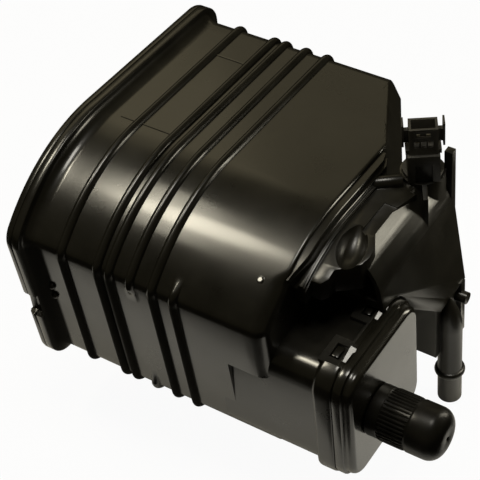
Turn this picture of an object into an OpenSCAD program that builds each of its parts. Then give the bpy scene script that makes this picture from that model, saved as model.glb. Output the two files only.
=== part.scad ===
// Charcoal canister for fuel vapour. A ribbed moulded shell is closed by a welded end cover and holds a
// bed of carbon between two fleece screens. A filter box with a snap lid and a capped vent tube is part of
// the shell, and a side housing carries the hose port and the electric vent valve.
// Millimetres. +X runs from the end cover to the vent cap, +Y to the back, +Z up from the seat.

/* [Shell] */
// Length from the outer face of the end cover to the end wall
body_len = 180; // [170:1:200]
// Depth of the shell from front to back
body_depth = 207; // [190:1:230]
// Height of the crown above the seat
body_h = 139; // [134:1:146]
// Fall of the flat top from the crown to the back
top_fall = 8; // [2:1:12]
// Distance of the crown from the front
crown_y = 80; // [76:1:84]
// Radius of the crown
crown_r = 110; // [104:1:118]
// Radius of the nose where the crown meets the front
nose_r = 9; // [5:1:12]
// Set-back of the front face at the seat
front_lean = 7.4; // [3:0.2:10]
// Radius of the long edges at the seat and the back
edge_r = 9; // [6:1:12]
// Radius of the end edge in front of the side housing
end_r = 9; // [5:1:12]
// Wall thickness of the mouldings
wall = 3; // [2.4:0.2:3.6]

/* [Flange and ribs] */
// Height of the weld flange above the shell
flange_h = 8; // [6:0.5:10]
// Thickness of each half of the weld flange
flange_t = 5.5; // [4:0.5:7]
// Length of the flare between flange and shell
flare_len = 8.5; // [7:0.5:11]
// Height of the ribs
rib_h = 3; // [2:0.2:3.6]
// Width of a rib at its foot
rib_w = 6.2; // [5:0.2:7]
// Position of the first rib
rib_1 = 37.5; // [32:0.5:40]
// Position of the middle of the double rib
rib_2 = 68.5; // [64:0.5:71]
// Spacing of the two halves of the double rib
rib_2_gap = 8.6; // [7:0.2:10]
// Position of the rib that stops at the nose
rib_3 = 88; // [86:0.5:91]
// Position of the last full rib
rib_4 = 103.7; // [101:0.5:107]
// Position of the rib that is only on the front
rib_5 = 118.8; // [116:0.5:122]

/* [Filter box and lid] */
// Front face of the filter box
box_y = 5.6; // [4.6:0.2:7]
// Width of the filter box
box_w = 77.4; // [74:0.2:80]
// Height of the filter box
box_h = 84; // [80:1:86]
// Length of the filter box beyond the end wall
box_len = 41; // [36:1:44]
// Radius of the long edges of the filter box
box_r = 13; // [9:1:16]
// Height of the collar around the mouth of the box
collar_h = 4; // [3:0.5:5]
// Thickness of the lid in the direction of the axis
lid_t = 10.5; // [9:0.5:13]
// Thickness of the lid seal
seal_t = 1.5; // [1:0.1:2]
// Width of a snap tab
tab_w = 21; // [16:1:24]
// Offset of a snap tab from the middle of the lid
tab_off = 18.3; // [16:0.1:20]

/* [Vent tube and cap] */
// Outer diameter of the vent tube
vent_d = 24; // [20:1:26]
// Bore of the vent tube
vent_bore = 19; // [14:1:19]
// Outer diameter of the cap
cap_d = 33; // [30:0.5:36]
// Length of the cap
cap_len = 46; // [40:1:52]
// Number of grip grooves around the cap
cap_grooves = 40; // [24:2:48]

/* [Side housing] */
// Distance of the foot of the outer wall from the end wall
side_foot = 49; // [46:1:53]
// Lean of the outer wall over its height
side_lean = 11; // [8:0.5:13]
// Height of the flat top of the housing
side_top = 122; // [119:1:125]
// Height of the ledge under the outer wall
side_ledge = 36; // [32:1:40]
// Radius of the shoulder
side_r = 36; // [32:1:38]
// Depth of the underside of the lower chamber below the seat
side_drop = 8; // [4:1:10]

/* [Hose port] */
// Outer diameter of the port
port_d = 15.8; // [14:0.2:17]
// Bore of the port
port_bore = 11.4; // [10:0.2:12]
// Diameter of the bead
port_bead_d = 20; // [19:0.2:21.4]
// Distance from the tip to the bead
port_lead = 26; // [22:1:30]
// Depth of the tip below the seat
port_tip = 54; // [50:1:60]

/* [Vent valve] */
// Turn of the valve about its own axis
valve_turn = 32; // [20:1:45]
// Outer diameter of the valve barrel
barrel_d = 22; // [21.6:0.1:22.4]
// Opening stroke of the valve
valve_stroke = 2; // [1.6:0.1:2.4]
// Height of the connector shroud
shroud_h = 19; // [17:1:22]

/* [Clearances] */
// Gap between pieces that are laid into the shell
lay_gap = 0.2; // [0.1:0.05:0.4]
// Gap between the valve barrel and its socket
socket_gap = 0.3; // [0.2:0.05:0.4]
// Gap around the plunger
plunger_gap = 0.4; // [0.3:0.05:0.5]
// Gap between pieces pressed into each other
press_gap = 0.05; // [0.02:0.01:0.1]

/* [Hidden] */
$fn = 96;
BIG = 500;
EPS = 0.01;
// Lap of each edge round over the flats it joins
LAP = 0.004;

plastic = [0.07, 0.07, 0.07];
plastic_2 = [0.10, 0.10, 0.10];
fleece = [0.82, 0.82, 0.78];
steel = [0.62, 0.63, 0.65];

// Section of the shell in depth and height
tilt = atan(top_fall / (body_depth - crown_y));
crown_c = [crown_y, body_h - crown_r];
nose_z = crown_c[1] + sqrt(crown_r * crown_r - crown_y * crown_y);
lean = atan(front_lean / nose_z);
nose_p = [0, nose_z];
front_n = [-cos(lean), -sin(lean)];
front_u = [-sin(lean), cos(lean)];
nose_v = nose_p - nose_r * front_n - crown_c;
nose_s = -nose_v * front_u + sqrt(pow(nose_v * front_u, 2) - nose_v * nose_v + pow(crown_r - nose_r, 2));
nose_c = nose_p - nose_r * front_n + nose_s * front_u;
nose_n = (nose_c - crown_c) / norm(nose_c - crown_c);

// Angle of the gate mark on the crown
gate_a = 30.6;

// Stations along the axis
flange_x = 2 * flange_t;
cover_in = flange_t + 2.5;
plate_x = 24;
plate_t = 5;
screen_t = 3;
bed_x = plate_x + plate_t + screen_t + lay_gap;
box_x = body_len - 29;
bed_end = box_x - 11;
mouth_x = body_len + box_len;
lid_x = mouth_x + seal_t;
face_x = lid_x + lid_t;

// The frame's origin lies on the plain underside between the last rib and the filter box
seat_x = (rib_5 + box_x) / 2;
seat_y = body_depth / 2;

// Filter box and lid
box_mid_y = box_y + box_w / 2;
box_mid_z = box_h / 2;
shelf_z = 64;
tab_t = 2.6;
tab_x = mouth_x - 15.2;
duct_x = mouth_x - 24;
bowl_r = 9;
bowl_half = 20;
bowl_arc = (bowl_r * bowl_r + bowl_half * bowl_half) / (2 * bowl_r) + 0.6;
vent_y = box_mid_y - 12;
vent_z = box_mid_z - 2;
cap_x = face_x + 0.6;
cap_r = cap_d / 2;

// Side housing, valve and port
foot_x = body_len + side_foot;
head_x = foot_x - side_lean;
side_y0 = 63;
block_z = box_h + 20;
under_y = box_y + box_w + collar_h + 0.6;
plateau_z = body_h - 11;
side_y1 = 153;
chamber_d = 27;
valve_x = foot_x - 24;
valve_y = 143;
port_x = foot_x + 1;
port_y = 131;
head_h = side_ledge - 9;
head_r = (head_h * head_h + port_d * port_d / 4) / port_d + 1;
seat_z = side_top - 25;
socket_r = barrel_d / 2 + socket_gap;
barrel_r = barrel_d / 2;
plunger_r = 3.6;
bobbin_bore = plunger_r + plunger_gap;
valve_top = side_top + 5.4;

module along_x(x, len) {
    translate([x, 0, 0])
        rotate([90, 0, 90])
            linear_extrude(len)
                children();
}

module along_y(y, len) {
    translate([0, y + len, 0])
        rotate([90, 0, 0])
            linear_extrude(len)
                children();
}

// Rounds the corner at p of a flat outline, where d1 and d2 point along its two edges
module rounded(p, d1, d2, r) {
    if (r > 0.3) {
        half = acos(d1 * d2) / 2;
        t = r / tan(half);
        c = p + (d1 + d2) / norm(d1 + d2) * r / sin(half);
        difference() {
            children();
            polygon([p - (d1 + d2), p + d1 * t, c, p + d2 * t]);
        }
        translate(c)
            circle(r + LAP);
    } else {
        children();
    }
}

module rounded_rect(y0, z0, w, h, r) {
    translate([y0 + r, z0])
        square([w - 2 * r, h]);
    translate([y0, z0 + r])
        square([w, h - 2 * r]);
    for (y = [y0 + r, y0 + w - r], z = [z0 + r, z0 + h - r])
        translate([y, z])
            circle(r + LAP);
}

// Front part of the section, grown outwards by g: crown, nose and leaning front
module section_front(g, t_y) {
    d_p = nose_p + g * front_n + front_u * ((-g - nose_z - g * front_n[1]) / front_u[1]);
    difference() {
        rounded(d_p, front_u, [1, 0], edge_r + g)
            intersection() {
                translate(crown_c)
                    circle(crown_r + g + LAP);
                translate(nose_p + g * front_n)
                    rotate(lean)
                        translate([0, -BIG])
                            square(2 * BIG);
                translate([-BIG, -g])
                    square([BIG + t_y + 5, BIG]);
            }
        if (nose_r + g > 0.3)
            polygon([nose_c, nose_c + 40 * front_n, nose_c + 60 * (front_n + nose_n), nose_c + 40 * nose_n]);
    }
    if (nose_r + g > 0.3)
        translate(nose_c)
            circle(nose_r + g + 2 * LAP);
}

// Whole section of the shell, grown outwards by g
module section(g) {
    t_p = crown_c + (crown_r + g) * [sin(tilt), cos(tilt)];
    back = body_depth + g;
    a_p = [back, t_p[1] - tan(tilt) * (back - t_p[0])];
    section_front(g, t_p[0]);
    rounded(a_p, [-cos(tilt), sin(tilt)], [0, -1], edge_r + g)
        rounded([back, -g], [-1, 0], [0, 1], edge_r + g)
            polygon([[t_p[0], -g], [back, -g], a_p, t_p]);
}

module box_outline(g) {
    rounded_rect(box_y - g, -g, box_w + 2 * g, box_h + 2 * g, box_r + g);
}

// One rib around the shell with a stepped round back
module rib(x) {
    for (s = [[1, 0.35], [0.78, 0.7], [0.5, 1]])
        along_x(x - rib_w * s[0] / 2, rib_w * s[0])
            section(rib_h * s[1]);
}

// Plan line of the cut back corner of the shell
corner_x = body_len - 33;
corner_y = body_depth - 60;
corner_a = atan2(corner_y - body_depth, body_len - corner_x);

module corner_cut(out, z) {
    translate([corner_x, body_depth, z])
        rotate([0, 0, corner_a])
            translate([-60, out, -BIG / 2])
                cube([240, 120, BIG]);
}

// Sloping strip along the top of the cut corner
module corner_strip() {
    translate([corner_x, body_depth, body_h - top_fall])
        rotate([0, 0, corner_a])
            rotate([-68, 0, 0])
                translate([-60, -80, 0])
                    cube([240, 160, 80]);
}

module placed() {
    translate([-seat_x, -seat_y, 0])
        children();
}

module body_outer() {
    difference() {
        union() {
            along_x(flange_t, flange_t)
                section(flange_h);
            for (i = [1 : 7]) {
                k = i / 8;
                along_x(flange_t, flange_t + flare_len * k)
                    section(flange_h * 0.9 * (1 - sqrt(1 - pow(1 - k, 2))) + 0.1);
            }
            along_x(flange_t, body_len - flange_t)
                section(0);
            for (x = [rib_1, rib_2 - rib_2_gap / 2, rib_2 + rib_2_gap / 2, rib_4])
                rib(x);
            difference() {
                rib(rib_3);
                translate([rib_3 - 10, -20, edge_r])
                    cube([20, 26, nose_z - edge_r - 8]);
            }
            // Two small bosses beside the flange
            for (z = [57, 66])
                translate([flange_x + flare_len + 1, front_lean * (1 - z / nose_z), z])
                    sphere(2.6);
            // Gate mark on the crown
            translate([body_len - 14, crown_y, crown_c[1]])
                rotate([gate_a, 0, 0])
                    translate([0, 0, crown_r - 2])
                        cylinder(r = 1.7, h = 3.4, $fn = 32);
            intersection() {
                rib(rib_5);
                translate([rib_5 - 10, -20, -20])
                    cube([20, 80, nose_z + 28]);
            }
        }
        corner_cut(7, 0);
        corner_strip();
        // Rounded end edge in front of the side housing
        intersection() {
            for (i = [0 : 5]) {
                k = (i + 0.5) / 6;
                difference() {
                    along_x(body_len - end_r * (1 - k), BIG)
                        section(2);
                    along_x(body_len - end_r - 1, BIG)
                        section(-end_r * (1 - sqrt(1 - k * k)));
                }
            }
            translate([0, -20, -20])
                cube([BIG, 53, BIG]);
        }
        // Notch in the flange at the front
        translate([-1, -flange_h - 10, 37])
            cube([flange_x + 1, 15, 20]);
        // Recess of the filter box panel below the shelf
        translate([box_x, -20, -20])
            cube([BIG, 20 + box_y, 20 + shelf_z]);
    }
}

module shell_cavity() {
    difference() {
        along_x(0, body_len - wall)
            section(-wall);
        corner_cut(-4, 0);
        // Space taken by the filter box and its walls
        translate([box_x - wall, -20, -20])
            cube([BIG, 20 + box_y + box_w + wall, 20 + box_h + wall]);
        // Thicker wall behind the rounded end edge
        translate([body_len - end_r - wall, -20, -20])
            cube([BIG, 58, BIG]);
        // Ribs that carry the screen in front of the end wall
        for (y = [112, 140])
            translate([bed_end + screen_t + 2 * lay_gap, y, -20])
                cube([BIG, 2.4, BIG]);
    }
}

module box_pocket() {
    along_x(box_x, BIG)
        rounded_rect(box_y + wall, wall, box_w - 2 * wall, box_h - 2 * wall, box_r - wall);
}

module canister_body() {
    color(plastic)
        placed()
            difference() {
                union() {
                    body_outer();
                    along_x(box_x, mouth_x - box_x)
                        box_outline(0);
                    difference() {
                        union() {
                            along_x(mouth_x - 11, 11)
                                box_outline(collar_h);
                            along_x(mouth_x - 12.2, 12.2)
                                box_outline(collar_h * 0.6);
                        }
                        // The collar leaves the way of the snap tabs free
                        translate([mouth_x - 20, box_mid_y - tab_off - tab_w / 2 - 1, box_h])
                            cube([40, 2 * tab_off + tab_w + 2, 20]);
                    }
                    // Snap wedges that stand in the windows of the tabs
                    for (s = [-1, 1])
                        translate([0, box_mid_y + s * tab_off - 4, 0])
                            along_y(0, 8)
                                translate([tab_x, box_h])
                                    polygon([[5.2, -1], [10, -1], [10, 0.3], [5.6, 2.4], [5.2, 2.4]]);
                }
                shell_cavity();
                box_pocket();
                // Way from the bed to the side housing
                translate([body_len - 10, 108, 100])
                    rotate([0, 90, 0])
                        cylinder(d = 12, h = 20);
                // Socket of the air duct in the back wall of the filter box
                translate([duct_x, box_y + box_w - 10, 22])
                    rotate([-90, 0, 0])
                        cylinder(r = 7.5, h = 30);
            }
}

module end_cover() {
    color(plastic_2)
        placed()
            difference() {
                union() {
                    // Rim with its outer edge rounded in steps
                    for (s = [[0, 2.4], [0.7, 1.2], [1.8, 0.4], [3, 0]])
                        along_x(s[0], flange_t - s[0])
                            section(flange_h - s[1]);
                    along_x(flange_t, cover_in - flange_t)
                        section(-wall - lay_gap);
                }
                // Shallow panels on the outside between stiffening bars
                for (y = [14, 78, 142])
                    for (z = [12, 68])
                        translate([-1, y, z])
                            cube([3.5, 54, z < 20 ? 48 : 40]);
                // Notch that matches the shell's flange
                translate([-1, -flange_h - 10, 37])
                    cube([flange_x, 15, 20]);
            }
}

module retainer_springs() {
    color(steel)
        placed()
            for (y = [56, 104, 152])
                for (i = [0 : 5])
                    translate([cover_in + 1.3 + i * (plate_x - cover_in - 2.6) / 5, y, 66])
                        rotate([0, 90, 0])
                            rotate_extrude()
                                translate([15 - i * 0.3, 0])
                                    circle(1.2, $fn = 24);
}

module retainer_plate() {
    color(plastic_2)
        placed()
            difference() {
                along_x(plate_x, plate_t)
                    section(-wall - 3 * lay_gap);
                for (y = [20 : 24 : body_depth - 12])
                    for (z = [14 : 22 : 108])
                        if (z < 100 || y > 40)
                            translate([plate_x - 1, y, z])
                                rotate([0, 90, 0])
                                    cylinder(d = 12, h = plate_t + 2, $fn = 48);
            }
}

module cover_screen() {
    color(fleece)
        placed()
            along_x(plate_x + plate_t, screen_t)
                section(-wall - 2 * lay_gap);
}

module carbon_bed() {
    color([0.05, 0.05, 0.055])
        placed()
            along_x(bed_x, bed_end - bed_x)
                section(-wall - lay_gap);
}

module port_screen() {
    color(fleece)
        placed()
            along_x(bed_end + lay_gap, screen_t)
                section(-wall - 2 * lay_gap);
}

module filter_element() {
    color([0.78, 0.76, 0.68])
        placed()
            difference() {
                along_x(box_x + 4, mouth_x - box_x - 10)
                    box_outline(-wall - 1);
                // Pleats from both ends
                for (i = [0 : 5]) {
                    translate([box_x + 12, box_y + 12 + i * (box_w - 24) / 5.5, 0])
                        cube([BIG, 3, BIG]);
                    translate([box_x - 1, box_y + 18 + i * (box_w - 24) / 5.5, 0])
                        cube([mouth_x - box_x - 14, 2, BIG]);
                }
            }
}

module lid_seal() {
    color([0.16, 0.16, 0.16])
        placed()
            along_x(mouth_x, seal_t)
                difference() {
                    box_outline(0);
                    rounded_rect(box_y + wall, wall, box_w - 2 * wall, box_h - 2 * wall, box_r - wall);
                }
}

module filter_lid() {
    color(plastic)
        placed() {
            difference() {
                union() {
                    along_x(lid_x, 4.5)
                        box_outline(collar_h - 0.8);
                    along_x(lid_x, 5.6)
                        box_outline(collar_h - 2.2);
                    along_x(lid_x, lid_t - 2.4)
                        box_outline(0.4);
                    along_x(lid_x, lid_t - 1)
                        box_outline(-1);
                    along_x(lid_x, lid_t)
                        box_outline(-2);
                    // Tongues of the snap tabs on top
                    for (s = [-1, 1])
                        translate([tab_x, box_mid_y + s * tab_off - tab_w / 2, box_h + 0.15])
                            cube([lid_x - tab_x + 4, tab_w, tab_t]);
                    translate([face_x - 3, vent_y, vent_z])
                        rotate([0, 90, 0])
                            cylinder(d = vent_d, h = 3 + cap_len * 0.62);
                }
                along_x(lid_x - 1, lid_t - 2)
                    box_outline(-wall - 2);
                // Windows and slots of the tabs
                for (s = [-1, 1]) {
                    translate([tab_x + 4.6, box_mid_y + s * tab_off - 4.8, box_h])
                        cube([6.4, 9.6, 20]);
                    translate([tab_x + 13.6, box_mid_y + s * tab_off - 4.8, box_h])
                        cube([3, 9.6, 20]);
                }
                translate([lid_x, vent_y, vent_z])
                    rotate([0, 90, 0])
                        cylinder(d = vent_bore, h = BIG);
            }
        }
}

module vent_cap() {
    nose = 9;
    color([0.06, 0.055, 0.05])
        placed()
            translate([cap_x, vent_y, vent_z])
                rotate([0, 90, 0])
                    difference() {
                        rotate_extrude() {
                            square([cap_r, cap_len - nose]);
                            square([cap_r - nose, cap_len]);
                            intersection() {
                                translate([cap_r - nose, cap_len - nose])
                                    circle(nose);
                                square([cap_r, cap_len]);
                            }
                        }
                        translate([0, 0, -1])
                            cylinder(r = vent_d / 2 + press_gap, h = cap_len * 0.64 + 1);
                        // Small hole in the nose
                        translate([0, 0, cap_len * 0.5])
                            cylinder(d = 2.6, h = cap_len, $fn = 32);
                        // Grip grooves
                        for (i = [0 : cap_grooves - 1])
                            rotate([0, 0, i * 360 / cap_grooves])
                                translate([cap_r + 0.25, 0, 6])
                                    cylinder(r = 0.85, h = cap_len * 0.38, $fn = 16);
                    }
}

// Side profile of the housing: flat top, shoulder and leaning outer wall
module side_profile(g) {
    top_z = side_top + 10 + g;
    slope = side_lean / (side_top - side_ledge);
    p = [head_x - 10 * slope + g, top_z];
    rounded(p, [-1, 0], [slope, -1] / norm([slope, -1]), side_r + g)
        polygon([[body_len, side_ledge], [foot_x + g, side_ledge], p, [body_len, top_z]]);
}

// Plan outline of the housing behind the front block
module side_plan(g) {
    polygon([[body_len, side_y0 - g], [foot_x + 20, side_y0 - g], [foot_x + 20, side_y1 + g],
        [foot_x - 18, side_y1 + g], [body_len + 14, 134 + g], [body_len, 119 + g]]);
}

module port() {
    translate([port_x, port_y, -port_tip]) {
        cylinder(d = port_d, h = port_tip + 12);
        translate([0, 0, port_tip + 12])
            rotate_extrude()
                intersection() {
                    translate([port_d / 2 - head_r, 0])
                        circle(head_r);
                    translate([0, -1])
                        square([port_d / 2 + LAP, head_h + 1]);
                }
        translate([0, 0, port_lead])
            rotate_extrude()
                translate([port_d / 2 - 0.3, 0])
                    intersection() {
                        circle(port_bead_d / 2 - port_d / 2 + 0.3, $fn = 48);
                        translate([0, -5])
                            square(10);
                    }
    }
}

module valve_fin() {
    translate([valve_x, valve_y, 0])
        rotate([0, 0, valve_turn - 90])
            translate([0, -1.4, 0])
                children();
}

module side_solid() {
    // Foot rim and bead along the end wall
    intersection() {
        union() {
            along_x(body_len, 9)
                section(-12);
            along_x(body_len + 3.6, 4.6)
                section(-9.8);
            along_x(body_len + 4.6, 2.6)
                section(-9);
        }
        translate([0, 34, block_z + 2])
            linear_extrude(BIG)
                square([BIG, 86]);
    }
    // Front block under the crown, above the filter box
    intersection() {
        along_x(body_len + 9 - EPS, 40)
            section(-11);
        translate([body_len, 0, block_z + 2])
            linear_extrude(BIG)
                polygon([[-10, 40], [15, 40], [18, 44], [18.5, 50], [25, 54.5], [31, 59], [33, 65], [32, 73],
                    [26, 84], [26, 104], [31, 124], [-10, 118]]);
    }
    // Outer wall, shoulder and sloping underside
    difference() {
        intersection() {
            along_y(side_y0, side_y1 + 10 - side_y0)
                side_profile(0);
            linear_extrude(BIG)
                side_plan(0);
            along_x(body_len - 1, BIG)
                section(-11.4);
        }
        along_x(body_len - 1, BIG)
            polygon([[0, -BIG], [120, -BIG], [120, side_ledge], [under_y, side_ledge + 120 - under_y],
                [under_y, box_h - box_r], [0, box_h - box_r]]);
        along_x(body_len - 1, BIG)
            box_outline(collar_h + 0.6);
    }
    // Lower chamber under the ledge
    translate([foot_x - 32, 119, -side_drop])
        cube([29.4, chamber_d, side_ledge + side_drop + 4]);
    // Diagonal bead behind the flat top
    translate([body_len + 4, 119, side_top + 4])
        rotate([0, 0, 36]) {
            rotate([0, 90, 0])
                cylinder(r = 4.5, h = 18);
            translate([0, -4.5, -30])
                cube([18, 9, 30]);
        }
    // Socket of the valve
    translate([valve_x, valve_y, seat_z - 12])
        cylinder(r = socket_r + 2.4, h = valve_top - seat_z + 11.6);
    // Fin on the shoulder below the connector
    valve_fin()
        translate([socket_r, 0, side_top - 20])
            cube([15, 2.8, valve_top - side_top + 19.4]);
    // Holding arm beside the valve
    translate([foot_x - 13.5, side_y1 - 3, side_top - 40])
        cube([5, 5, 58]);
    translate([foot_x - 22, side_y1 - 2.5, side_top - 30])
        cube([10, 3, valve_top - side_top + 29.4]);
    // Stub and gusset at the back of the ledge
    translate([foot_x - 3, side_y1 - 6, side_ledge - 11])
        rotate([0, 90, 0])
            cylinder(r = 4, h = 8);
    translate([foot_x - 6, side_y1 - 7, -side_drop])
        cube([7, 5, side_ledge + 9]);
    translate([foot_x - 12, port_y + 10, -side_drop])
        cube([8, side_y1 - port_y - 12, side_ledge + 9]);
    // Air duct to the filter box
    translate([duct_x, box_y + box_w + LAP, 22])
        rotate([-90, 0, 0])
            cylinder(r = 10, h = 60);
    port();
}

module side_housing() {
    color(plastic)
        placed()
            difference() {
                side_solid();
                // Spoon-shaped hollow in the flat top: a spindle and a shallow channel
                translate([body_len + 20.5, 66, plateau_z + 1])
                    rotate([0, 0, 14])
                        rotate([-90, 0, 0])
                            rotate_extrude()
                                intersection() {
                                    translate([bowl_r - bowl_arc, 0])
                                        circle(bowl_arc);
                                    translate([0, -bowl_half])
                                        square([bowl_r + LAP, 2 * bowl_half]);
                                }
                translate([body_len + 18.5, 80, plateau_z - 2.2])
                    cube([9, 28, 10]);
                // Open front end of the shoulder
                along_y(side_y0 - 1, 24)
                    intersection() {
                        side_profile(-wall);
                        translate([body_len + 26, box_h + 10])
                            square([BIG, BIG]);
                    }
                // Socket bore, valve passage and chamber
                translate([valve_x, valve_y, seat_z - 2])
                    cylinder(r = socket_r, h = BIG);
                translate([valve_x, valve_y, 40])
                    cylinder(r = 6, h = 80);
                translate([foot_x - 29, 122, -side_drop + wall])
                    cube([23.4, chamber_d - 6, side_ledge + 20]);
                translate([port_x, port_y, -port_tip - 1])
                    cylinder(d = port_bore, h = port_tip + 8);
                translate([port_x - 12, port_y - 4, -side_drop + wall])
                    cube([12, 8, 12]);
                // Way to the bed through the end wall
                translate([valve_x, valve_y, seat_z + 3])
                    rotate([0, 0, atan2(108 - valve_y, body_len - valve_x)])
                        rotate([0, 90, 0])
                            cylinder(d = 9, h = 60);
                translate([duct_x, box_y + box_w - 1, 22])
                    rotate([-90, 0, 0])
                        cylinder(r = 7.5, h = 60);
            }
}

module at_valve() {
    placed()
        translate([valve_x, valve_y, seat_z])
            rotate([0, 0, valve_turn])
                children();
}

// Heights inside the valve, counted from the foot of the socket bore
lip_z = 5;
can_z = lip_z + 3;
head_z = valve_top - seat_z;
block_h = 20;
coil_top = head_z - 2;
gap_z = coil_top - 9;

module valve_body() {
    block_w = 19;
    color([0.09, 0.09, 0.09])
        at_valve()
            difference() {
                union() {
                    translate([0, 0, -1])
                        cylinder(r = barrel_r, h = head_z + 1);
                    translate([-block_w / 2, -12, head_z])
                        cube([block_w, 22, block_h]);
                    translate([0, 0, head_z])
                        cylinder(r = barrel_r + 1.2, h = 2);
                    // Connector shroud
                    translate([-8.5, -10, head_z + block_h])
                        cube([17, 11, shroud_h]);
                    translate([-10.5, -9, head_z + block_h])
                        cube([21, 10, 3]);
                    for (x = [-12.5, 11.3])
                        translate([x, -8, head_z + block_h + 5])
                            cube([1.2, 8, shroud_h - 3]);
                    for (x = [-12, 8])
                        translate([x, -5, head_z + block_h + 6])
                            cube([4, 3, shroud_h - 10]);
                }
                // Mouth of the connector
                translate([-7, -8.4, head_z + block_h + 5])
                    cube([14, 7.8, shroud_h]);
                // Latch slot and windows
                translate([-4, -11, head_z + block_h + shroud_h - 6])
                    cube([8, 4, 3]);
                for (x = [-5.6, -1.6, 2.4])
                    translate([x, -11, head_z + block_h + 5.4])
                        cube([3.2, 4, 4.6]);
                // Recess on the front of the block
                translate([-5, -13, head_z - 1])
                    cube([10, 2.5, block_h - 6]);
                // Room for the solenoid
                translate([0, 0, can_z])
                    cylinder(r = barrel_r - 1.2, h = head_z - can_z);
                translate([0, 0, -2])
                    cylinder(r = 5.4, h = can_z + 4);
                translate([0, 0, -2])
                    cylinder(r = 8.4, h = lip_z + 2);
                // Windows of the skirt
                for (a = [0, 90])
                    rotate([0, 0, a + 45])
                        translate([-20, -4, -2])
                            cube([40, 7, 5.4]);
                // Groove of the O-ring
                translate([0, 0, head_z - 8])
                    rotate_extrude()
                        translate([barrel_r - 0.9, 0])
                            square([3, 2.6]);
                // Slots of the terminals
                for (x = [-3, 3])
                    translate([x - 1.2 - press_gap, -4.9 - press_gap, head_z - 1])
                        cube([2.4 + 2 * press_gap, 0.8 + 2 * press_gap, block_h + 10]);
            }
}

module valve_terminals() {
    color([0.78, 0.70, 0.45])
        at_valve()
            for (x = [-3, 3])
                translate([x - 1.2, -4.9, head_z + 0.2])
                    cube([2.4, 0.8, block_h + shroud_h - 8.2]);
}

module valve_yoke() {
    color(steel)
        at_valve()
            difference() {
                translate([0, 0, can_z + lay_gap / 2])
                    cylinder(r = barrel_r - 1.2 - press_gap, h = head_z - can_z - lay_gap);
                translate([0, 0, can_z + 1.6])
                    cylinder(r = barrel_r - 2.6, h = BIG);
                translate([0, 0, -1])
                    cylinder(r = 5.6, h = BIG);
            }
}

module valve_bobbin() {
    color([0.75, 0.72, 0.62])
        at_valve()
            difference() {
                union() {
                    translate([0, 0, can_z + 1.7])
                        cylinder(r = 5.2, h = coil_top - can_z - 1.7);
                    for (z = [can_z + 1.7, coil_top - 1.4])
                        translate([0, 0, z])
                            cylinder(r = barrel_r - 2.7, h = 1.4);
                }
                cylinder(r = bobbin_bore, h = BIG);
            }
}

module valve_coil() {
    color([0.66, 0.35, 0.18])
        at_valve()
            translate([0, 0, can_z + 3.15])
                difference() {
                    cylinder(r = barrel_r - 3.2, h = coil_top - can_z - 4.6);
                    translate([0, 0, -1])
                        cylinder(r = 5.25, h = BIG);
                }
}

module valve_core() {
    color(steel)
        at_valve()
            translate([0, 0, gap_z + valve_stroke + 0.6])
                cylinder(r = bobbin_bore - press_gap, h = coil_top - gap_z - valve_stroke - 0.7);
}

module valve_plunger() {
    color(steel)
        at_valve()
            difference() {
                translate([0, 0, 0.6])
                    cylinder(r = plunger_r, h = gap_z - 0.6);
                translate([0, 0, gap_z - 7])
                    cylinder(r = 2.6, h = BIG);
                // Neck that holds the seal
                translate([0, 0, 1.4])
                    difference() {
                        cylinder(r = 20, h = 1.6);
                        translate([0, 0, -1])
                            cylinder(r = 2.6, h = 5);
                    }
            }
}

module valve_seal() {
    color([0.12, 0.12, 0.12])
        at_valve()
            translate([0, 0, 1.45])
                difference() {
                    cylinder(r = 7.6, h = 1.5);
                    translate([0, 0, -1])
                        cylinder(r = 2.6 + press_gap, h = 5);
                }
}

module valve_spring() {
    z0 = gap_z - 7;
    z1 = gap_z + valve_stroke + 0.6;
    color(steel)
        at_valve()
            for (i = [0 : 4])
                translate([0, 0, z0 + 0.5 + i * (z1 - z0 - 1) / 4])
                    rotate_extrude()
                        translate([2, 0])
                            circle(0.35, $fn = 24);
}

module valve_o_ring() {
    color([0.1, 0.1, 0.1])
        at_valve()
            translate([0, 0, head_z - 6.7])
                rotate_extrude()
                    translate([barrel_r - 0.35, 0])
                        circle(0.5, $fn = 32);
}

canister_body();
end_cover();
retainer_plate();
retainer_springs();
cover_screen();
carbon_bed();
port_screen();
filter_element();
lid_seal();
filter_lid();
vent_cap();
side_housing();
valve_body();
valve_terminals();
valve_yoke();
valve_bobbin();
valve_coil();
valve_core();
valve_plunger();
valve_spring();
valve_seal();
valve_o_ring();
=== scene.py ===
"""Charcoal canister: smooth moulded skins, snap lid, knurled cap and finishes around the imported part."""
import math

import bmesh
import bpy
import numpy as np
from mathutils import Matrix, Vector


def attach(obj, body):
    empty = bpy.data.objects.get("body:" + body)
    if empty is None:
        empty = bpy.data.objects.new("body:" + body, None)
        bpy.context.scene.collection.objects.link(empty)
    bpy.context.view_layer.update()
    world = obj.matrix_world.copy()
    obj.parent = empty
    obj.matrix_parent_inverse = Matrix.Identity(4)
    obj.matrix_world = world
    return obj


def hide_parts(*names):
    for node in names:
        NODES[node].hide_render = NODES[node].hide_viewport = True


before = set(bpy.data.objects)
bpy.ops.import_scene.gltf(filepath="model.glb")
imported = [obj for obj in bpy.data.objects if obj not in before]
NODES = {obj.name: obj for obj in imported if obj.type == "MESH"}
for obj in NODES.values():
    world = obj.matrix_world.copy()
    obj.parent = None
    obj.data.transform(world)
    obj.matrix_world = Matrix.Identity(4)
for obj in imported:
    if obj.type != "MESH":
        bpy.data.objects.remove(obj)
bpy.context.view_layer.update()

BODY = "canister"

# Millimetres in the shell's own layout: X from the end cover, Y from the front nose, Z from the seat
MM_PER_M = 1000.0
SEAT = np.array([134.9, 103.5, 0.0])

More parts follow.
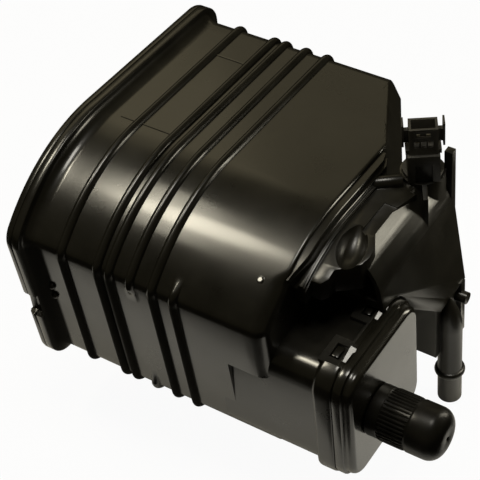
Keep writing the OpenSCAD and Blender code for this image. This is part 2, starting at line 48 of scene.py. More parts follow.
# Shell with its cut back corner
BODY_LEN, BODY_DEPTH, BODY_H = 180.0, 207.0, 139.0
TOP_FALL, CROWN_Y, CROWN_R, NOSE_R = 8.0, 80.0, 110.0, 9.0
NOSE_Z = BODY_H - CROWN_R + math.sqrt(CROWN_R ** 2 - CROWN_Y ** 2)
FRONT_LEAN, FRONT_REACH, EDGE_R = 7.4, 30.0, 9.0
END_R, SHARP_END_R, SOFT_END_Y, SOFT_END_Z = 9.0, 1.4, (34.0, 24.0), (40.0, 70.0)
CUT_X, CUT_Y, CUT_STRIP, CUT_SLOPE, CUT_EDGE = 147.0, 147.0, 7.0, 68.0, 0.7

# Weld flange: the cover's edge is as thick as the flange, and a flare leads on to the shell
FLANGE_H, FLANGE_T = 8.0, 5.5
FLANGE_X = 2 * FLANGE_T
FLANGE_EDGE_IN, FLANGE_EDGE_CUT = (0.0, 0.2, 0.6), (0.5, 0.2, 0.0)
FLARE_LEN, FLARE_SHARE = 8.5, 0.88
NOTCH_Y, NOTCH_Z = 1.2, (37.0, 57.0)

# Ribs
RIB_H, RIB_W, RIB_ROUND = 3.0, 6.2, 0.75
FULL_RIBS = (37.5, 64.2, 72.8, 103.7)
CROWN_RIB, FRONT_RIB = 88.0, 118.8
CROWN_RIB_STOP, CROWN_RIB_FOOT = (NOSE_Z - 6.5, NOSE_Z - 9.5), (EDGE_R - 2, EDGE_R + 3)
FRONT_RIB_TOP, FRONT_RIB_BACK = (NOSE_Z + 3, NOSE_Z + 9), (60.0, 52.0)

# Filter box, lid and snap tabs
BOX_LEN, BOX_Y, BOX_W, BOX_H, BOX_R = 41.0, 5.6, 77.4, 84.0, 13.0
BOX_X, BOX_MID_Y = BODY_LEN - 29, BOX_Y + BOX_W / 2
BOX_LIFT, PANEL_SET, SHELF_Z, COLLAR_H = 0.06, 0.35, 64.0, 4.0
SEAL_T, LID_T, LID_GROW, RIM_GROW, FACE_ROUND = 1.5, 10.5, 1.2, 3.2, (3.6, 3.4)
MOUTH_X = BODY_LEN + BOX_LEN
LID_X = MOUTH_X + SEAL_T
FACE_X = LID_X + LID_T
TAB_W, TAB_OFF, TAB_X = 21.0, 18.3, MOUTH_X - 15.2
TAB_MIDDLES = (BOX_MID_Y - TAB_OFF, BOX_MID_Y + TAB_OFF)
TAB_Z, TAB_EDGE, TAB_GAP = (BOX_H + 0.15, BOX_H + 2.75), 0.4, 1.2
WINDOW_X, WINDOW_HALF = (TAB_X + 4.4, TAB_X + 11.2), 5.4
SLOT_X, CATCH_GAP = (TAB_X + 12.9, TAB_X + 16.7), 0.1
CATCH_Z, CATCH_SLOPE = (BOX_H - 0.8, BOX_H + 3.1), (-0.25, 0.33)
WEDGE_X, WEDGE_HALF, WEDGE_EDGE = (TAB_X + 5.2, TAB_X + 9.6), 4.0, 0.5
WEDGE_Z = (BOX_H - 1, BOX_H + 2.2)

# Vent tube and cap
VENT_Y, VENT_Z = BOX_MID_Y - 12, BOX_H / 2 - 2
TUBE_R, TUBE_BORE_R, TUBE_LEN = 12.0, 9.5, 27.0
CAP_X, CAP_R, CAP_LEN, CAP_NOSE = FACE_X + 0.6, 16.5, 46.0, 9.0
GRIP_X, GRIP_R, RIDGE_R, RIDGE_COUNT = (7.4, 25.0), CAP_R - 0.75, 0.82, 40
RIDGE_ROWS, RIDGE_SIDES, TAPER_POWER, TAPER_SHARE = 12, 10, 10.0, 0.9

# Small marks of the mould and the ledge at the shell's end
BOSS_X, BOSS_Z, BOSS_R = 21.0, (57.0, 66.0), 2.6
GATE_X, GATE_LEAN, GATE_SLANT = BODY_LEN - 14, 30.6, (0.16, -0.05)
MOULD_LINES = ((24.0, 34.6, 89.5), (40.4, 61.0, 89.5), (40.4, 61.0, 171.5))
CROSS_LINE_X, CROSS_LINE_Y = 49.0, (91.0, 165.0)
LINE_HALF, LINE_H, CROSS_HALF, CROSS_H, LINE_ROOT = 0.4, 0.6, 0.3, 0.2, 1.0
LEDGE_Y, LEDGE_Z, LEDGE_RUN_IN, LEDGE_RUN_OUT = (27.0, 146.0), 110.0, 22.0, 14.0

# Places where the skins have a row of points, and how many points lie along a stretch
FRONT_ROWS, CLOSE_ROWS = (14, 20, 26, 32, 42, 47, 52, 60), (-0.5, -0.1, 0.1, 0.5)
FLARE_ROWS = (0.01, 0.05, 0.1, 0.17, 0.25, 0.34, 0.44, 0.55, 0.67, 0.8, 0.92, 1.0)
RIB_ROWS = (0.0, 0.2, 0.42, 0.62, 0.78, 0.9, 0.97, 1.0)
PLAIN_ROWS = (28, 45, 50, 55, 78, 82.5, 94, 98, 110, 126, 132, 138, 144, 156, 161, 166)
BOX_ROWS, END_ANGLES = (-0.4, -0.1, 0.1, 0.4), (5, 15, 25, 35, 45, 55, 64, 72, 79, 85, 90)
SEAT_STEPS, FRONT_STEPS, NOSE_STEPS, CROWN_STEPS = 11, 7, 12, 44
TOP_STEPS, BACK_STEPS, FOOT_STEPS = 16, 12, 22
BOX_CORNER_STEPS, BOX_SIDE_STEPS = 9, (14, 42, 14, 14)
TUBE_STEPS, CAP_STEPS, GATE_STEPS = 48, 96, 32


# Points, sections and lofted skins

def place(points):
    """Shell layout in millimetres to the shared frame in metres."""
    return (np.asarray(points, float) - SEAT) / MM_PER_M


def unit(v):
    return v / np.linalg.norm(v)


def fade(v, start, end):
    """Smooth step from 0 at the start to 1 at the end."""
    t = np.clip((v - start) / (end - start), 0.0, 1.0)
    return t * t * (3 - 2 * t)


def top_at(y):
    """Height of the sloped flat top."""
    return BODY_H - TOP_FALL * (y - CROWN_Y) / (BODY_DEPTH - CROWN_Y)


def angle_of(direction):
    return math.degrees(math.atan2(direction[1], direction[0])) % 360


def arc(centre, radius, start, end, steps):
    """Points and outward normals of an arc between two angles."""
    a = np.radians(np.linspace(start, end, steps))
    n = np.stack([np.cos(a), np.sin(a)], 1)
    return np.asarray(centre) + radius * n, n


def line(p, q, normal, steps):
    """Points and normals of a straight stretch, without its two ends."""
    t = np.linspace(0, 1, steps + 2)[1:-1, None]
    pts = np.asarray(p) * (1 - t) + np.asarray(q) * t
    return pts, np.tile(np.asarray(normal, float), (len(pts), 1))


def joined(parts):
    return np.concatenate([p for p, _ in parts]), np.concatenate([n for _, n in parts])


def round_centre(corner, side_a, side_b):
    """Centre of the rounding at a corner that two sides leave in unit directions."""
    half = math.acos(side_a @ side_b) / 2
    return corner + unit(side_a + side_b) * EDGE_R / math.sin(half)


def shell_section():
    """Points and outward normals of the shell's section, from the seat over the front, crown and back."""
    tilt = math.atan(TOP_FALL / (BODY_DEPTH - CROWN_Y))
    lean = math.atan(FRONT_LEAN / NOSE_Z)
    front_n = np.array([-math.cos(lean), -math.sin(lean)])
    front_u = np.array([-math.sin(lean), math.cos(lean)])
    top_n = np.array([math.sin(tilt), math.cos(tilt)])
    # The rounding of the nose touches the front wall and the crown
    crown = np.array([CROWN_Y, BODY_H - CROWN_R])
    inside_nose = np.array([0.0, NOSE_Z]) - NOSE_R * front_n
    v = inside_nose - crown
    rise = -v @ front_u + math.sqrt((v @ front_u) ** 2 - v @ v + (CROWN_R - NOSE_R) ** 2)
    nose_c = inside_nose + rise * front_u
    nose_n = unit(nose_c - crown)
    # Roundings at the seat and the back
    top_start = crown + CROWN_R * top_n
    back_top = np.array([BODY_DEPTH, top_start[1] - math.tan(tilt) * (BODY_DEPTH - top_start[0])])
    low_front = round_centre(np.array([FRONT_LEAN, 0.0]), front_u, np.array([1.0, 0.0]))
    low_back = np.array([BODY_DEPTH - EDGE_R, EDGE_R])
    high_back = round_centre(back_top, np.array([-math.cos(tilt), math.sin(tilt)]), np.array([0.0, -1.0]))
    foot, head = low_front + EDGE_R * front_n, nose_c + NOSE_R * front_n

    def front_at(z):
        return foot + (head - foot) * (z - foot[1]) / (head[1] - foot[1])

    # Rows lie close together at the edges of the flange's notch and at the shelf of the filter box
    close_rows = [z + d for z in (*NOTCH_Z, SHELF_Z) for d in CLOSE_ROWS]
    rows = np.array([front_at(z) for z in sorted([*FRONT_ROWS, *close_rows])])
    crown_pts, crown_nrm = arc(crown, CROWN_R, angle_of(nose_n), angle_of(top_n), CROWN_STEPS)
    return joined([
        arc(low_front, EDGE_R, 270, angle_of(front_n), SEAT_STEPS),
        (rows, np.tile(front_n, (len(rows), 1))),
        line(rows[-1], head, front_n, FRONT_STEPS),
        arc(nose_c, NOSE_R, angle_of(front_n), angle_of(nose_n), NOSE_STEPS),
        (crown_pts[1:], crown_nrm[1:]),
        line(top_start, high_back + EDGE_R * top_n, top_n, TOP_STEPS),
        arc(high_back, EDGE_R, angle_of(top_n), 0, BACK_STEPS),
        line(high_back + (EDGE_R, 0), low_back + (EDGE_R, 0), (1, 0), BACK_STEPS),
        arc(low_back, EDGE_R, 0, -90, SEAT_STEPS),
        line(low_back - (0, EDGE_R), low_front - (0, EDGE_R), (0, -1), FOOT_STEPS)])


def box_outline():
    """Points and outward normals of the filter box's section, anticlockwise from its lower back corner."""
    front, back = BOX_Y + BOX_R, BOX_Y + BOX_W - BOX_R
    low, high = BOX_R, BOX_H - BOX_R
    corners = [(back, low), (back, high), (front, high), (front, low)]
    parts = []
    for k, side_steps in enumerate(BOX_SIDE_STEPS):
        pts, nrm = arc(corners[k], BOX_R, 90 * k - 90, 90 * k, BOX_CORNER_STEPS)
        next_start = np.add(corners[(k + 1) % 4], BOX_R * nrm[-1])
        parts += [(pts, nrm), line(pts[-1], next_start, nrm[-1], side_steps)]
    return joined(parts)


def rings_of(points, normals, stations):
    """One ring for each (x, offset); an offset is a number or one number for each point."""
    rings = []
    for x, offset in stations:
        offset = np.broadcast_to(np.asarray(offset, float), (len(points),))
        yz = points + normals * offset[:, None]
        rings.append(place(np.column_stack([np.full(len(points), x), yz])))
    return rings


def vent_ring(x, radius, steps):
    """A circle around the axis of the vent tube."""
    a = np.linspace(0, 2 * math.pi, steps, endpoint=False)
    y, z = VENT_Y + radius * np.cos(a), VENT_Z + radius * np.sin(a)
    return place(np.column_stack([np.full(steps, x), y, z]))


def loft(rings, cap_first=True):
    """Quads between closed rings of equal length, in order, with flat caps."""
    count = len(rings[0])
    faces = []
    for r in range(len(rings) - 1):
        a, b = r * count, (r + 1) * count
        for i in range(count):
            j = (i + 1) % count
            faces.append((a + i, b + i, b + j, a + j))
    if cap_first:
        faces.append(range(count))
    last = (len(rings) - 1) * count
    faces.append([last + i for i in reversed(range(count))])
    return np.concatenate(rings), faces


# Meshes

def mesh_of(name, verts, faces):
    mesh = bpy.data.meshes.new(name)
    mesh.from_pydata([tuple(v) for v in verts], [], [list(f) for f in faces])
    return mesh


def mesh_from(bm, name):
    """A mesh from a bmesh that is then done with."""
    mesh = bpy.data.meshes.new(name)
    bm.to_mesh(mesh)
    bm.free()
    return mesh


def join_meshes(name, meshes):
    bm = bmesh.new()
    for mesh in meshes:
        bm.from_mesh(mesh)
        bpy.data.meshes.remove(mesh)
    bmesh.ops.recalc_face_normals(bm, faces=bm.faces[:])
    return mesh_from(bm, name)


def round_edges(bm, edges, radius):
    bmesh.ops.bevel(bm, geom=edges, offset=radius / MM_PER_M, segments=2, profile=0.5, affect="EDGES")


def bar(name, low, high, radius=0.0):
    """A block between two corners in the shell's layout, with rounded edges where a radius is given."""
    bm = bmesh.new()
    bmesh.ops.create_cube(bm, size=1.0)
    low, high = np.asarray(low, float), np.asarray(high, float)
    for v in bm.verts:
        v.co = Vector(place([low + (high - low) * (np.array(v.co) + 0.5)])[0])
    if radius > 0:
        round_edges(bm, bm.edges[:], radius)
    return mesh_from(bm, name)


def ball(name, centre, radius):
    bm = bmesh.new()
    bmesh.ops.create_uvsphere(bm, u_segments=24, v_segments=14, radius=radius / MM_PER_M)
    bmesh.ops.translate(bm, verts=bm.verts[:], vec=Vector(place([centre])[0]))
    return mesh_from(bm, name)


def evaluated_mesh(obj):
    """The plain mesh of an object with its modifiers applied."""
    graph = bpy.context.evaluated_depsgraph_get()
    graph.update()
    return bpy.data.meshes.new_from_object(obj.evaluated_get(graph))


def linked(name, data):
    obj = bpy.data.objects.new(name, data)
    bpy.context.scene.collection.objects.link(obj)
    return obj


def finish_mesh(name, mesh, sharp=34.0):
    """An object with smooth faces and edges that stay sharp past an angle."""
    mesh.polygons.foreach_set("use_smooth", [True] * len(mesh.polygons))
    mesh.set_sharp_from_angle(angle=math.radians(sharp))
    return linked(name, mesh)


# Node trees

def add_node(tree, kind, inputs, **settings):
    """A new node with these settings, its inputs fed with plain values or other nodes' outputs."""
    node = tree.nodes.new(kind)
    for setting, value in settings.items():
        setattr(node, setting, value)
    for label, value in inputs.items():
        if isinstance(value, bpy.types.NodeSocket):
            tree.links.new(value, node.inputs[label])
        else:
            node.inputs[label].default_value = value
    return node


def math_node(tree, operation, *values):
    return add_node(tree, "ShaderNodeMath", dict(enumerate(values)), operation=operation).outputs[0]


def mix_node(tree, kind, share, a, b):
    """Blend of two numbers (FLOAT) or two colours (RGBA)."""
    first, out = {"FLOAT": (2, 0), "RGBA": (6, 2)}[kind]
    return add_node(tree, "ShaderNodeMix", {0: share, first: a, first + 1: b}, data_type=kind).outputs[out]


def within(tree, value, low, high, soft):
    """1 where a value lies in a range and 0 outside it, with soft ends."""
    half = (high - low) / 2
    off = math_node(tree, "ABSOLUTE", math_node(tree, "SUBTRACT", value, (low + high) / 2))
    ends = {"Value": off, "From Min": half + soft, "From Max": half - soft}
    return add_node(tree, "ShaderNodeMapRange", ends, interpolation_type="SMOOTHSTEP").outputs[0]


def object_axes(tree):
    """X, Y and Z of the Object coordinates."""
    coord = tree.nodes.new("ShaderNodeTexCoord")
    return add_node(tree, "ShaderNodeSeparateXYZ", {0: coord.outputs["Object"]}).outputs


def node_group(name, kind, inputs, outputs):
    """An empty node tree with named sockets, and its input and output nodes."""
    tree = bpy.data.node_groups.new(name, kind)
    for in_out, sockets in (("INPUT", inputs), ("OUTPUT", outputs)):
        for label, socket in sockets:
            tree.interface.new_socket(label, in_out=in_out, socket_type="NodeSocket" + socket)
    return tree, tree.nodes.new("NodeGroupInput"), tree.nodes.new("NodeGroupOutput")


# Finishes

BLACK, CHAR = (0.004, 0.0036, 0.0024), (0.009, 0.0082, 0.0058)
DULL_ROUGHNESS, GRAIN_HEIGHT = 0.9, 0.02
DULL_WALL_Z, DULL_FLARE_X, DULL_RIB_HALF = (-5.0, 102.0), (FLANGE_X - 0.4, FLANGE_X + 11), RIB_W / 2 + 0.1
DULL_TAB_X, DULL_TAB_Z = (TAB_X - 5.8, SLOT_X[0] - 0.2), (BOX_H + 2, BOX_H + 4)


def moulded_group():
    """Grain, slow waviness and dull patches of a moulded plastic skin, on Object coordinates."""
    tree, gin, gout = node_group(
        "moulded_skin", "ShaderNodeTree",
        [("Dark", "Color"), ("Light", "Color"), ("Smooth", "Float"), ("Dull", "Float"), ("Wave", "Float"),
         ("Grain", "Float")],
        [("Color", "Color"), ("Roughness", "Float"), ("Height", "Float")])
    coord = tree.nodes.new("ShaderNodeTexCoord").outputs["Object"]
    given, result = gin.outputs, gout.inputs

    def noise(scale, detail, rough=0.5):
        inputs = {"Vector": coord, "Scale": scale, "Detail": detail, "Roughness": rough}
        return add_node(tree, "ShaderNodeTexNoise", inputs).outputs["Fac"]

    patchy = {"Value": noise(scale=34.0, detail=4.0, rough=0.62), "From Min": 0.34, "From Max": 0.68}
    patches = add_node(tree, "ShaderNodeMapRange", patchy).outputs[0]
    clouded = math_node(tree, "MULTIPLY", patches, noise(scale=11.0, detail=2.0))
    wave = math_node(tree, "MULTIPLY", noise(scale=26.0, detail=1.0), given["Wave"])
    grain = math_node(tree, "MULTIPLY", noise(scale=2600.0, detail=2.0), given["Grain"])
    fine = math_node(tree, "MULTIPLY", grain, GRAIN_HEIGHT)
    tree.links.new(mix_node(tree, "RGBA", patches, given["Dark"], given["Light"]), result["Color"])
    tree.links.new(mix_node(tree, "FLOAT", clouded, given["Smooth"], given["Dull"]), result["Roughness"])
    tree.links.new(math_node(tree, "ADD", wave, fine), result["Height"])
    return tree


MOULDED = moulded_group()


def band_group(name, bands):
    """Mask of duller skin: each band is a list of (axis, low, high, soft) ranges that must all hold."""
    tree, _, gout = node_group(name, "ShaderNodeTree", [], [("Dull", "Float")])
    axes = object_axes(tree)
    mask = 0.0
    for ranges in bands:
        inside = 1.0
        for axis, low, high, soft in ranges:
            low, high = (np.array([low, high]) - SEAT["XYZ".index(axis)]) / MM_PER_M
            inside = math_node(tree, "MULTIPLY", inside, within(tree, axes[axis], low, high, soft / MM_PER_M))
        mask = math_node(tree, "MAXIMUM", mask, inside)
    tree.links.new(mask, gout.inputs["Dull"])
    return tree


def new_material(name):
    mat = bpy.data.materials.new(name)
    mat.use_nodes = True
    return mat, mat.node_tree, mat.node_tree.nodes["Principled BSDF"]


def moulded(name, dark, light, smooth_rough, dull_rough, wave, grain,
            bump=0.00035, spec=0.5, coat=0.0, coat_rough=0.1, bands=None):
    """A moulded skin with its own values, duller where the group of bands says so."""
    mat, tree, bsdf = new_material(name)
    values = {"Dark": (*dark, 1), "Light": (*light, 1), "Smooth": smooth_rough, "Dull": dull_rough,
              "Wave": wave, "Grain": grain}
    skin = add_node(tree, "ShaderNodeGroup", values, node_tree=MOULDED).outputs
    hump = add_node(tree, "ShaderNodeBump", {"Distance": bump, "Height": skin["Height"]}).outputs["Normal"]
    bsdf.inputs["Specular IOR Level"].default_value = spec
    bsdf.inputs["Coat Weight"].default_value = coat
    bsdf.inputs["Coat Roughness"].default_value = coat_rough
    tree.links.new(skin["Color"], bsdf.inputs["Base Color"])
    tree.links.new(hump, bsdf.inputs["Normal"])
    rough = skin["Roughness"]
    if bands:
        dull = add_node(tree, "ShaderNodeGroup", {}, node_tree=bands).outputs["Dull"]
        rough = mix_node(tree, "FLOAT", dull, rough, DULL_ROUGHNESS)
        tree.links.new(mix_node(tree, "FLOAT", dull, coat, 0.0), bsdf.inputs["Coat Weight"])
    tree.links.new(rough, bsdf.inputs["Roughness"])
    return mat


def metal(name, dark, light, rough, grain):
    mat = moulded(name, dark, light, rough * 0.8, rough * 1.4, 0.2, grain)
    mat.node_tree.nodes["Principled BSDF"].inputs["Metallic"].default_value = 1.0
    return mat


def shell_bands():
    """Duller skin on the flare of the flange and on the ribs of the front wall."""
    wall_height = ("Z", *DULL_WALL_Z, 3.0)
    bands = [[("X", *DULL_FLARE_X, 1.5), wall_height]]
    for rib in (*FULL_RIBS, FRONT_RIB):
        bands.append([("X", rib - DULL_RIB_HALF, rib + DULL_RIB_HALF, 0.4), wall_height])
    return band_group("dull_shell", bands)


def lid_bands():
    """Duller skin on the snap tabs, up to their slots."""
    return band_group("dull_tabs", [[("X", *DULL_TAB_X, 0.2), ("Z", *DULL_TAB_Z, 0.3)]])


shell_black = moulded("shell_black", BLACK, CHAR, 0.27, 0.42, 1.0, 0.25,
                      spec=0.28, coat=0.58, coat_rough=0.14, bands=shell_bands())
lid_black = moulded("lid_black", BLACK, CHAR, 0.2, 0.34, 0.5, 0.1,
                    spec=0.3, coat=0.6, coat_rough=0.14, bands=lid_bands())
housing_black = moulded("housing_black", BLACK, CHAR, 0.28, 0.42, 0.9, 0.3,
                        spec=0.42, coat=0.15, coat_rough=0.22)
valve_black = moulded("valve_black", (0.012, 0.011, 0.008), (0.03, 0.027, 0.02), 0.58, 0.72, 0.5, 0.5)
cap_black = moulded("cap_black", (0.004, 0.0038, 0.003), (0.01, 0.009, 0.007), 0.34, 0.48, 0.6, 0.1,
                    spec=0.16, coat=0.12, coat_rough=0.2)
inner_black = moulded("inner_black", (0.02, 0.02, 0.02), (0.04, 0.04, 0.04), 0.45, 0.6, 0.5, 0.4)
seal_black = moulded("seal_black", (0.012, 0.012, 0.012), (0.03, 0.03, 0.03), 0.55, 0.75, 0.3, 0.6)
carbon_black = moulded("carbon_black", (0.004, 0.004, 0.005), (0.05, 0.05, 0.055), 0.6, 0.9, 0.4, 4.0,
                       bump=0.001)
fleece_white = moulded("fleece_white", (0.62, 0.61, 0.56), (0.84, 0.83, 0.79), 0.85, 0.95, 0.3, 3.0,
                       bump=0.0008)
paper_cream = moulded("paper_cream", (0.62, 0.57, 0.44), (0.78, 0.74, 0.62), 0.75, 0.9, 0.3, 1.5)
bobbin_natural = moulded("bobbin_natural", (0.62, 0.58, 0.47), (0.76, 0.72, 0.61), 0.4, 0.55, 0.3, 0.3)
spring_bright = metal("spring_bright", (0.5, 0.51, 0.53), (0.68, 0.69, 0.7), 0.28, 0.3)
valve_plated = metal("valve_plated", (0.48, 0.48, 0.49), (0.66, 0.66, 0.67), 0.32, 0.3)
coil_copper = metal("coil_copper", (0.5, 0.2, 0.09), (0.72, 0.36, 0.2), 0.35, 0.6)
terminal_tin = metal("terminal_tin", (0.66, 0.6, 0.42), (0.82, 0.76, 0.58), 0.3, 0.2)

FINISH = {
    "canister_body": shell_black, "end_cover": shell_black, "retainer_plate": inner_black,
    "retainer_springs": spring_bright, "cover_screen": fleece_white, "carbon_bed": carbon_black,
    "port_screen": fleece_white, "filter_element": paper_cream, "lid_seal": seal_black,
    "filter_lid": lid_black, "vent_cap": cap_black, "side_housing": housing_black,
    "valve_body": valve_black, "valve_terminals": terminal_tin, "valve_yoke": valve_plated,
    "valve_bobbin": bobbin_natural, "valve_coil": coil_copper, "valve_core": valve_plated,
    "valve_plunger": valve_plated, "valve_spring": spring_bright, "valve_seal": seal_black,
    "valve_o_ring": seal_black}


def wear(obj, material):
    obj.data.materials.clear()
    obj.data.materials.append(material)


for node, material in FINISH.items():
    wear(NODES[node], material)


def settle(obj, node):
    """A finished piece takes its node's finish, rides the canister and stands for that node."""
    wear(obj, FINISH[node])
    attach(obj, BODY)
    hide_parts(node)


# Shell with flange, flare, ribs and rounded end

def rib_bump(d):
    """Height of a rib at a distance from its middle."""
    t = abs(d) / (RIB_W / 2)
    return RIB_H * (1 - t * t) ** RIB_ROUND if t < 1 else 0.0


def shell_stations():
    """Places along X where the section is set, close together at the flange, the flare, ribs and end."""
    xs = [x for d in FLANGE_EDGE_IN for x in (FLANGE_T + d, FLANGE_X - d)]
    xs += [FLANGE_X + FLARE_LEN * k for k in FLARE_ROWS]
    for rib in (*FULL_RIBS, CROWN_RIB, FRONT_RIB):
        for k in RIB_ROWS:
            xs += [rib - RIB_W / 2 * k, rib + RIB_W / 2 * k]
    xs += PLAIN_ROWS
    xs += [BOX_X + d for d in BOX_ROWS]
    xs += [BODY_LEN - END_R * (1 - math.sin(a)) for a in np.radians(END_ANGLES)]
    return sorted({round(x, 3) for x in xs})


def shell_rings():
    """Rings of the shell's skin: its section grown by flange, flare and ribs and drawn in at the end."""
    pts, nrm = shell_section()
    y, z = pts.T
    on_front = y < FRONT_REACH
    # The crown rib stops at the nose; the short rib runs up the front from the seat
    crown_share = 1 - fade(z, *CROWN_RIB_STOP) * fade(z, *CROWN_RIB_FOOT) * on_front
    up_front, under = np.interp(z, FRONT_RIB_TOP, (1, 0)), fade(y, *FRONT_RIB_BACK) * (z < NOSE_Z)
    front_share = np.where(on_front, up_front, under)
    end_r = SHARP_END_R + (END_R - SHARP_END_R) * fade(y, *SOFT_END_Y) * fade(z, *SOFT_END_Z)
    stations = []
    for x in shell_stations():
        grow = np.zeros(len(pts))
        if x <= FLANGE_X:
            grow += FLANGE_H - np.interp(min(x - FLANGE_T, FLANGE_X - x), FLANGE_EDGE_IN, FLANGE_EDGE_CUT)
        elif x < FLANGE_X + FLARE_LEN:
            ahead = 1 - (x - FLANGE_X) / FLARE_LEN
            grow += FLANGE_H * FLARE_SHARE * (1 - math.sqrt(1 - ahead ** 2))
        for rib in FULL_RIBS:
            grow = np.maximum(grow, rib_bump(x - rib))
        grow = np.maximum(grow, rib_bump(x - CROWN_RIB) * crown_share)
        grow = np.maximum(grow, rib_bump(x - FRONT_RIB) * front_share)
        past = np.clip((x - (BODY_LEN - end_r)) / end_r, 0, 1)
        stations.append((x, grow - end_r * (1 - np.sqrt(1 - past * past))))
    rings = rings_of(pts, nrm, stations)
    # The panel of the filter box lies back below its shelf, and the flange has a notch in front
    panel_y, notch_y = place([(0, BOX_Y + PANEL_SET, 0), (0, NOTCH_Y, 0)])[:, 1]
    in_panel = z < SHELF_Z
    in_notch = on_front & (z > NOTCH_Z[0]) & (z < NOTCH_Z[1])
    for (x, _), ring in zip(stations, rings):
        if x > BOX_X:
            ring[in_panel, 1] = np.maximum(ring[in_panel, 1], panel_y)
        elif x <= FLANGE_X:
            ring[in_notch, 1] = np.maximum(ring[in_notch, 1], notch_y)
    return rings


def cut_corner(bm):
    """Cut the back corner upright, with a sloping strip above the cut and a soft edge on the strip."""
    start = np.array([CUT_X, BODY_DEPTH])
    along = unit(np.array([BODY_LEN, CUT_Y]) - start)
    out = np.array([-along[1], along[0]])
    slope = math.radians(CUT_SLOPE)
    strip_n = np.append(out * math.sin(slope), math.cos(slope))
    for point, normal in ((np.append(start + CUT_STRIP * out, 0.0), np.append(out, 0.0)),
                          (np.append(start, BODY_H - TOP_FALL), strip_n)):
        geom = bm.verts[:] + bm.edges[:] + bm.faces[:]
        cut = bmesh.ops.bisect_plane(bm, geom=geom, dist=1e-7, plane_co=place([point])[0], plane_no=normal,
                                     clear_outer=True)
        rim = [e for e in cut["geom_cut"] if isinstance(e, bmesh.types.BMEdge) and e.is_boundary]
        bmesh.ops.holes_fill(bm, edges=rim)
    strip_n = Vector(strip_n)
    top_n = Vector(unit(np.array([0.0, TOP_FALL, BODY_DEPTH - CROWN_Y])))
    edges = []
    for e in bm.edges:
        sides = sorted((f.normal.dot(strip_n) > 0.999, f.normal.dot(top_n) > 0.995) for f in e.link_faces)
        if sides == [(False, True), (True, False)]:
            edges.append(e)
    round_edges(bm, edges, CUT_EDGE)


def shell_skin():
    raw = mesh_of("raw_shell", *loft(shell_rings()))
    bm = bmesh.new()
    bm.from_mesh(raw)
    bpy.data.meshes.remove(raw)
    cut_corner(bm)
    return mesh_from(bm, "shell")


def box_skin():
    """Walls of the filter box with the collar at its mouth, left out on top where the tabs lie."""
    pts, nrm = box_outline()
    gap = (pts[:, 1] > BOX_H - 0.1) & (np.abs(pts[:, 0] - BOX_MID_Y) < TAB_OFF + TAB_W / 2 + TAB_GAP)
    collar = np.where(gap, 0.0, 1.0)
    before_mouth = [(-14.0, BOX_LIFT), (-13.2, 0.2), (-12.6, 0.7), (-12.2, 1.6), (-11.8, 2.6), (-11.2, 3.5),
                    (-10.4, 3.9), (-9.6, COLLAR_H), (-3.0, COLLAR_H), (-1.0, 3.9), (-0.4, 3.7), (0.0, 3.2),
                    (0.0, 0.5)]
    prof = [(BOX_X - 8, BOX_LIFT)] + [(MOUTH_X + x, g) for x, g in before_mouth]
    rings = rings_of(pts, nrm, [(x, BOX_LIFT + (g - BOX_LIFT) * collar) for x, g in prof])
    return mesh_of("box", *loft(rings))


def gate_nub():
    """Trimmed gate of the mould, standing square on the crown."""
    lean = math.radians(GATE_LEAN)
    out = np.array([0.0, -math.sin(lean), math.cos(lean)])
    side, up = np.array([1.0, 0.0, 0.0]), np.array([0.0, math.cos(lean), math.sin(lean)])
    foot = np.array([GATE_X, CROWN_Y, BODY_H - CROWN_R]) + out * CROWN_R
    dimple = ((-1.0, 2.6), (0.06, 2.4), (0.2, 2.0), (0.1, 1.5), (0.3, 1.4))
    trimmed = ((1.1, 1.35), (1.22, 1.25), (1.22, 1.1), (1.22, 0.6))
    rings = []
    for slant, prof in ((0, dimple), (1, trimmed)):
        for h, r in prof:
            ring = []
            for t in np.linspace(0, 2 * math.pi, GATE_STEPS, endpoint=False):
                rise = h - slant * r * (GATE_SLANT[0] * math.cos(t) + GATE_SLANT[1] * math.sin(t))
                ring.append(foot + out * rise + r * (math.cos(t) * up + math.sin(t) * side))
            rings.append(place(ring))
    return mesh_of("gate", *loft(rings))


def end_ledge():
    """Two low steps along the shell's end edge; they run out towards the front and at the cut back corner."""
    pts, nrm = shell_section()
    front, back = LEDGE_Y
    keep = (pts[:, 1] > LEDGE_Z) & (pts[:, 0] > front) & (pts[:, 0] < back)
    root = [(-3.0, -14.0), (-3.0, -2.2)]
    steps = [(4.4, -2.2), (4.7, -2.5), (4.8, -5.8), (6.4, -5.8), (6.7, -6.1), (6.7, -14.0)]
    rings = []
    for p, q in zip(pts[keep], nrm[keep]):
        reach = min((back + 0.5 - p[0]) / LEDGE_RUN_OUT, fade(p[0], front - 2, front + LEDGE_RUN_IN))
        rim = root + [(x * reach, g) for x, g in steps]
        rings.append(place([(BODY_LEN + x, *(p + q * g)) for x, g in rim]))
    return mesh_of("ledge", *loft(rings))


